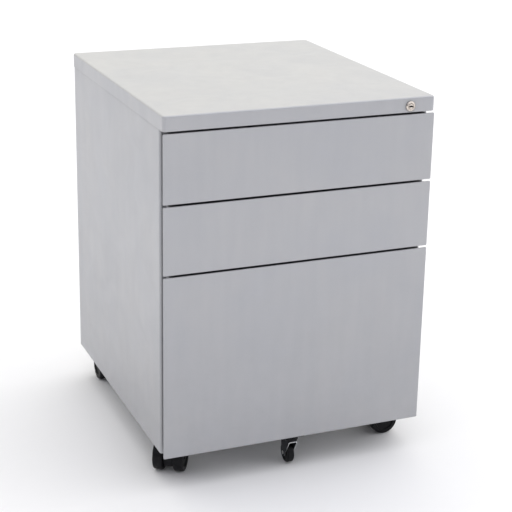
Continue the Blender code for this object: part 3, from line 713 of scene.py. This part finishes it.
def make_tray(drawer):
    """An open box of folded sheet with a rim turned inwards."""
    node = f"{drawer}_drawer_tray"
    low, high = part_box(node)
    profile = fillet(
        (
            (FLAT_CAP, low.z, 0.0),
            (0.0, low.z, FOLD),
            (0.0, high.z, FOLD),
            (TRAY_RIM, high.z, CUT_EDGE),
            (TRAY_RIM, high.z - SHEET, CUT_EDGE),
            (SHEET, high.z - SHEET, INNER_FOLD),
            (SHEET, low.z + SHEET, INNER_FOLD),
            (FLAT_CAP, low.z + SHEET, 0.0),
        ),
        closed=False,
    )
    made = piece(f"{drawer}_tray", shell(low, high, "Z", profile, TRAY_CORNER), tray_paint)
    stands_for(made, node)


def channel(low, high, opens):
    """Outline of a rolled C, whose lips point inwards (-1) or outwards (+1) along X."""
    web, lip = (low.x, high.x) if opens > 0 else (high.x, low.x)
    inner = web + opens * SHEET
    return fillet(
        (
            (web, low.z, FOLD),
            (lip, low.z, SHEET / 3),
            (lip, low.z + SHEET, SHEET / 3),
            (inner, low.z + SHEET, INNER_FOLD),
            (inner, high.z - SHEET, INNER_FOLD),
            (lip, high.z - SHEET, SHEET / 3),
            (lip, high.z, SHEET / 3),
            (web, high.z, FOLD),
        )
    )


def spacer_blocks(low, high, side):
    """Two blocks that stand a cabinet member off its side panel."""
    quarter = (high.z - low.z) / 4
    middle = (low.z + high.z) / 2
    blocks = []
    for start in (low.y + SPACER_INSET, high.y - SPACER_INSET - SPACER_LENGTH):
        near, far = (MEMBER_WEB - SHEET / 2, high.x) if side > 0 else (low.x, -MEMBER_WEB + SHEET / 2)
        corners = (
            (near, start, CUT_EDGE),
            (far, start, CUT_EDGE),
            (far, start + SPACER_LENGTH, CUT_EDGE),
            (near, start + SPACER_LENGTH, CUT_EDGE),
        )
        blocks.append(prism(fillet(corners), "Z", middle - quarter, middle + quarter))
    return blocks


def make_runner_member(node, side, opens, spacer=False):
    low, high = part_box(node)
    parts = []
    if spacer:
        parts = spacer_blocks(low, high, side)
        if side > 0:
            high = Vector((MEMBER_WEB, high.y, high.z))
        else:
            low = Vector((-MEMBER_WEB, low.y, low.z))
    parts.append(prism(channel(low, high, opens), "Y", low.y, high.y))
    stands_for(piece(node.replace("_member", "_rail"), parts, zinc), node)


# Lock


def make_lock():
    x, y, z = joint("lock_turn")["pos_m"]
    place = Matrix.Translation((x, y, z))
    make_bezel(place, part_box("lock_barrel")[1].y - y)
    make_plug(place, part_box("lock_plug")[1].y - y)


def make_bezel(place, back):
    """The barrel with its bevelled bezel and the bore for the plug."""
    bore = PLUG + PLUG_PLAY
    face = -LOCK_PROUD
    barrel = rounded_turn(
        (
            (bore, back, 0.0),
            (bore, face + 0.0010, 0.0004),
            (PLUG + 0.0010, face, 0.0003),
            (BEZEL - 0.0016, face, 0.0006),
            (BEZEL, face + 0.0014, 0.0005),
            (BEZEL, -0.0003, 0.0002),
            (BARREL, -0.0003, 0.0),
            (BARREL, back, 0.0003),
            (bore, back, 0.0),
        )
    )
    made = piece("lock_bezel", turned(barrel, "Y"), nickel, place)
    stands_for(made, "lock_barrel")


def make_plug(place, back):
    """The keyed plug with its arched keyway."""
    x, y, z = place.translation
    face = PLUG_SUNK - LOCK_PROUD
    plug = rounded_turn(
        (
            (0.0, face, 0.0),
            (PLUG, face, 0.0005),
            (PLUG, back, 0.0002),
            (0.0, back, 0.0),
        )
    )
    made = piece("key_plug", turned(plug, "Y", 48), nickel, place)
    centre = (x, z - KEYWAY_DROP)
    first, last = KEYWAY_REACH
    arch = arc(centre, KEYWAY_OUTER, 8, first, last) + arc(centre, KEYWAY_INNER, 8, last, first)
    # The keyway's walls get near-black painted shade.
    cut(made, prism(arch, "Y", y + face - SHEET, y + face + KEYWAY_DEPTH), keyway_painted_shade)
    stands_for(made, "lock_plug")


# Castors


def castor_place(name):
    """The swivel's own frame: origin on the stem at the floor, X towards the axle."""
    stem = Vector(joint(f"{name}_castor_swivel")["pos_m"])
    axis = joint(f"{name}_castor_left_wheel_spin")["axis"]
    heading = math.atan2(-axis[0], axis[1])
    return Matrix.Translation((stem.x, stem.y, 0.0)) @ Matrix.Rotation(heading, 4, "Z")


def make_hood(name, place):
    """The block between the wheels, and the fender over both."""
    half = (WHEEL_SPACING - WHEEL_WIDTH) / 2 - HOOD_PLAY
    axle = (TRAIL, WHEEL)
    block = [(-HOOD_BOSS, HOOD_TOP), (-HOOD_BOSS, HOOD_BASE)]
    block += arc(axle, HOOD_WEB, 40, 162, 375)
    block += arc(axle, (FENDER_IN + FENDER_OUT) / 2, 20, FENDER_REACH[0], 100)
    block += [(HOOD_BOSS, HOOD_TOP)]
    width = (WHEEL_SPACING + WHEEL_WIDTH) / 2 - 0.001
    sweep = arc(axle, FENDER_OUT, 36, *FENDER_REACH)
    sweep += arc(axle, FENDER_IN, 36, *FENDER_REACH)[::-1]
    body = prism(block, "Y", -half, half)
    fender = prism(sweep, "Y", -width, width)
    made = piece(f"{name}_hood", body, nylon, bevel=0.0009)
    bore = arc((0.0, 0.0), STEM_BORE, 24, 0, 345)
    cut(made, prism(bore, "Z", STEM_LOW, HOOD_TOP + 0.001))
    made.data.transform(place)
    stands_for(made, f"{name}_castor_hood")
    cap = piece(f"{name}_fender", fender, nylon, place, bevel=0.0007)
    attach(cap, body_of(f"{name}_castor_hood"))


def wheel_profile(radius, half, sign):
    """A wheel with a rounded tread. Its outer face has a rim, a dished web and a hub cap."""
    corners = (
        (0.0, half - 0.0006, 0.0),
        (0.0042, half - 0.0006, 0.0006),
        (HUB, half - 0.0021, 0.0006),
        (0.0130, half - 0.0026, 0.003),
        (RIM_IN, half - 0.0022, 0.0006),
        (RIM_OUT, half, 0.0007),
        (radius, half, TREAD_ROUND),
        (radius, -half, TREAD_ROUND),
        (RIM_IN, -half, 0.0007),
        (0.0155, -half + 0.0025, 0.001),
        (0.0060, -half + 0.0025, 0.001),
        (0.0055, -half, 0.0004),
        (AXLE_BORE, -half, 0.0),
        (AXLE_BORE, half - 0.003, 0.0),
        (0.0, half - 0.003, 0.0),
    )
    return [(r, sign * along) for r, along in rounded_turn(corners)]


def make_wheels(name, place):
    for side, sign in SIDES:
        node = f"{name}_castor_{side}_wheel"
        at = place @ Matrix.Translation((TRAIL, sign * WHEEL_SPACING / 2, WHEEL))
        mesh = turned(wheel_profile(WHEEL, WHEEL_WIDTH / 2, sign), "Y")
        stands_for(piece(f"{name}_{side}_tyre", mesh, tread, at), node)


def make_fifth_castor():
    """A pressed fork with one wheel, under its plate and race."""
    x, y, axle_z = joint("fifth_castor_swivel")["pos_m"]
    place = Matrix.Translation((x, y, 0.0))
    make_fork(place, axle_z)
    make_fifth_wheel(place, axle_z)
    make_swivel_mount(place)


def make_fork(place, axle_z):
    """A strip bent over into two legs that narrow down to the axle, with bright sheared edges."""
    low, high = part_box("fifth_castor_fork")
    half = high.x
    front = low.y - place.translation.y
    bend = fillet(
        ((-half, low.z, 0.0), (-half, high.z, FORK_BEND), (half, high.z, FORK_BEND), (half, low.z, 0.0)),
        closed=False,
    )
    path = []
    for start, end in zip(bend, bend[1:]):
        steps = max(1, round((end - start).length / STRIP_STEP))
        path += [start.lerp(end, k / steps) for k in range(steps)]
    path.append(bend[-1])
    rows = [leg_slice(across, up, axle_z, front, high.z) for across, up in path]
    made = piece("fork", skin(rows, ring=False, caps=False), black_zinc, place)
    made.data.materials.append(bare_steel)
    made.modifiers.clear()
    thick = made.modifiers.new("sheet", "SOLIDIFY")
    thick.material_offset_rim = 1
    thick.thickness = FORK_SHEET
    thick.offset = -1.0
    thick.use_even_offset = True
    round_off(made, SOFT_EDGE, 2)
    even_normals(made)
    stands_for(made, "fifth_castor_fork")


def leg_slice(across, up, axle_z, front, top):
    """Points across the fork's strip at one height: the strip narrows down to the round end at the axle."""
    if up <= axle_z:
        reach = math.sqrt(max(LEG_RADIUS**2 - (axle_z - up) ** 2, 1e-8))
        first, last = FIFTH_TRAIL - reach, FIFTH_TRAIL + reach
    else:
        share = min(1.0, (up - axle_z) / (top - 0.003 - axle_z))
        first = FIFTH_TRAIL - LEG_RADIUS + share * (front - FIFTH_TRAIL + LEG_RADIUS)
        last = FIFTH_TRAIL + LEG_RADIUS + min(1.0, 1.1 * share) * (LEG_BACK - FIFTH_TRAIL - LEG_RADIUS)
    return [(across, first + (last - first) * k / LEG_POINTS, up) for k in range(LEG_POINTS + 1)]


def make_fifth_wheel(place, axle_z):
    """A plain wheel, dished on both faces round its hub."""
    half = FIFTH_WIDTH / 2
    corners = (
        (FIFTH_BORE, -half, 0.0),
        (0.0060, -half, 0.0004),
        (0.0068, -half + FIFTH_DISH, 0.0006),
        (0.0115, -half + FIFTH_DISH, 0.0008),
        (0.0125, -half, 0.0006),
        (FIFTH_WHEEL, -half, FIFTH_ROUND),
        (FIFTH_WHEEL, half, FIFTH_ROUND),
        (0.0125, half, 0.0006),
        (0.0115, half - FIFTH_DISH, 0.0008),
        (0.0068, half - FIFTH_DISH, 0.0006),
        (0.0060, half, 0.0004),
        (FIFTH_BORE, half, 0.0),
        (FIFTH_BORE, -half, 0.0),
    )
    at = place @ Matrix.Translation((0.0, FIFTH_TRAIL, axle_z))
    made = piece("fifth_tyre", turned(rounded_turn(corners), "X"), tread, at)
    stands_for(made, "fifth_castor_wheel")


def make_swivel_mount(place):
    """The plate under the file drawer, with the race and the kingpin below it."""
    low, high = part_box("fifth_castor_bracket")
    plate_profile = fillet(
        (
            (FLAT_CAP, high.z, 0.0),
            (0.0, high.z, 0.0004),
            (0.0, high.z - PLATE, 0.0006),
            (FLAT_CAP, high.z - PLATE, 0.0),
        ),
        closed=False,
    )
    plate = shell(low, high, "Z", plate_profile, PLATE_CORNER)
    race_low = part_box("fifth_castor_fork")[1].z + RACE_GAP
    race_profile = (
        (0.0, high.z - PLATE / 2, 0.0),
        (RACE, high.z - PLATE / 2, 0.0),
        (RACE, race_low + RACE_TAPER, 0.0016),
        (RACE_FOOT, race_low, 0.0006),
        (KINGPIN, race_low, 0.0),
        (KINGPIN, low.z + 0.002, 0.0),
        (KINGPIN_HEAD, low.z + 0.002, 0.0003),
        (KINGPIN_HEAD, low.z, 0.0008),
        (0.0, low.z, 0.0),
    )
    race = turned(rounded_turn(race_profile), "Z", 48)
    bmesh.ops.translate(race, verts=race.verts, vec=place.translation)
    stands_for(piece("swivel_mount", [plate, race], nylon), "fifth_castor_bracket")


# Stage


def make_floor():
    rows = [[(-FLOOR_HALF, y, 0.0), (FLOOR_HALF, y, 0.0)] for y in (-FLOOR_HALF, FLOOR_HALF)]
    finish = Finish("floor_paint", (0.90, 0.90, 0.90), 0.75)
    speckle = finish.noise(35.0, 4.0, 0.6)
    finish.set("Base Color", finish.blend(speckle, (0.895, 0.895, 0.895), (0.905, 0.905, 0.905)))
    floor = piece("floor", skin(rows, ring=False, caps=False), finish.material)


def make_lights():
    """Light from all round: each glow is strongest at its own side and falls off by the cosine squared."""
    world = bpy.data.worlds.new("studio")
    world.use_nodes = True
    tree = world.node_tree
    background = tree.nodes["Background"]
    direction = tree.nodes.new("ShaderNodeTexCoord").outputs["Generated"]
    axes = tree.nodes.new("ShaderNodeSeparateXYZ")
    tree.links.new(direction, axes.inputs["Vector"])

    def calculate(operation, value, other):
        node = tree.nodes.new("ShaderNodeMath")
        node.operation = operation
        tree.links.new(value, node.inputs[0])
        node.inputs[1].default_value = other
        return node.outputs["Value"]

    total = None
    for axis, sign, strength, colour in SKY:
        facing = calculate("MAXIMUM", calculate("MULTIPLY", axes.outputs[axis], sign), 0.0)
        glow = calculate("POWER", facing, 2.0)
        lit = tree.nodes.new("ShaderNodeVectorMath")
        lit.operation = "SCALE"
        lit.inputs[0].default_value = tuple(strength * c for c in colour)
        tree.links.new(glow, lit.inputs["Scale"])
        if total is None:
            total = lit.outputs["Vector"]
            continue
        both = tree.nodes.new("ShaderNodeVectorMath")
        tree.links.new(total, both.inputs[0])
        tree.links.new(lit.outputs["Vector"], both.inputs[1])
        total = both.outputs["Vector"]
    backdrop = tree.nodes.new("ShaderNodeMix")
    backdrop.data_type = "RGBA"
    backdrop.inputs[7].default_value = (*BACKDROP, 1.0)
    seen = tree.nodes.new("ShaderNodeLightPath").outputs["Is Camera Ray"]
    tree.links.new(seen, backdrop.inputs[0])
    tree.links.new(total, backdrop.inputs[6])
    tree.links.new(backdrop.outputs[2], background.inputs["Color"])
    bpy.context.scene.world = world


def make_camera():
    """The photograph's own viewpoint and lens."""
    data = bpy.data.cameras.new("camera")
    data.lens = LENS
    data.sensor_width = SENSOR
    data.shift_y = SHIFT_Y
    camera = bpy.data.objects.new("camera", data)
    turn = Matrix.Rotation(-math.radians(CAMERA_AZIMUTH), 4, "Z")
    tilt = Matrix.Rotation(math.radians(90 - CAMERA_ELEVATION), 4, "X")
    roll = Matrix.Rotation(math.radians(CAMERA_ROLL), 4, "Z")
    camera.matrix_world = Matrix.Translation(CAMERA_AT) @ turn @ tilt @ roll
    bpy.context.scene.collection.objects.link(camera)
    bpy.context.scene.camera = camera


def refinish(node, looks):
    """Merges the node's doubled corners, softens its edges and gives it a finish."""
    made = frame["nodes"][node]
    made.data.materials.clear()
    made.data.materials.append(looks)
    weld = made.modifiers.new("weld", "WELD")
    weld.merge_threshold = 0.00001
    flat = made.modifiers.new("flats", "DECIMATE")
    flat.decimate_type = "DISSOLVE"
    flat.angle_limit = math.radians(1.0)
    round_off(made, SOFT_EDGE)
    even_normals(made)


def make_carcass():
    make_top_cover()
    for side, sign in SIDES:
        make_side_panel(side, sign)
    make_flat_sheet("back_sheet", "back_panel", paint)
    make_base_pan()
    make_front_rail()


def make_drawers():
    for drawer in DRAWERS:
        make_front(drawer)
        make_tray(drawer)
        for side, sign in SIDES:
            make_runner_member(f"{side}_{drawer}_runner_cabinet_member", sign, -sign, spacer=True)
            make_runner_member(f"{side}_{drawer}_runner_drawer_member", sign, sign)
    for side, sign in SIDES:
        make_runner_member(f"{side}_file_runner_middle_member", sign, -sign)


def make_castors():
    for name in CASTORS:
        place = castor_place(name)
        make_hood(name, place)
        make_wheels(name, place)
    make_fifth_castor()


def refinish_kept_nodes():
    kept = list(KEPT) + [f"{drawer}_drawer_catch" for drawer in DRAWERS]
    for name in CASTORS:
        kept += [f"{name}_castor_stem", f"{name}_castor_axle"]
    for node in kept:
        refinish(node, zinc)


def main():
    make_camera()
    make_carcass()
    make_drawers()
    make_lock()
    make_castors()
    refinish_kept_nodes()
    make_floor()
    make_lights()
    bpy.context.scene.view_settings.view_transform = "Standard"


main()
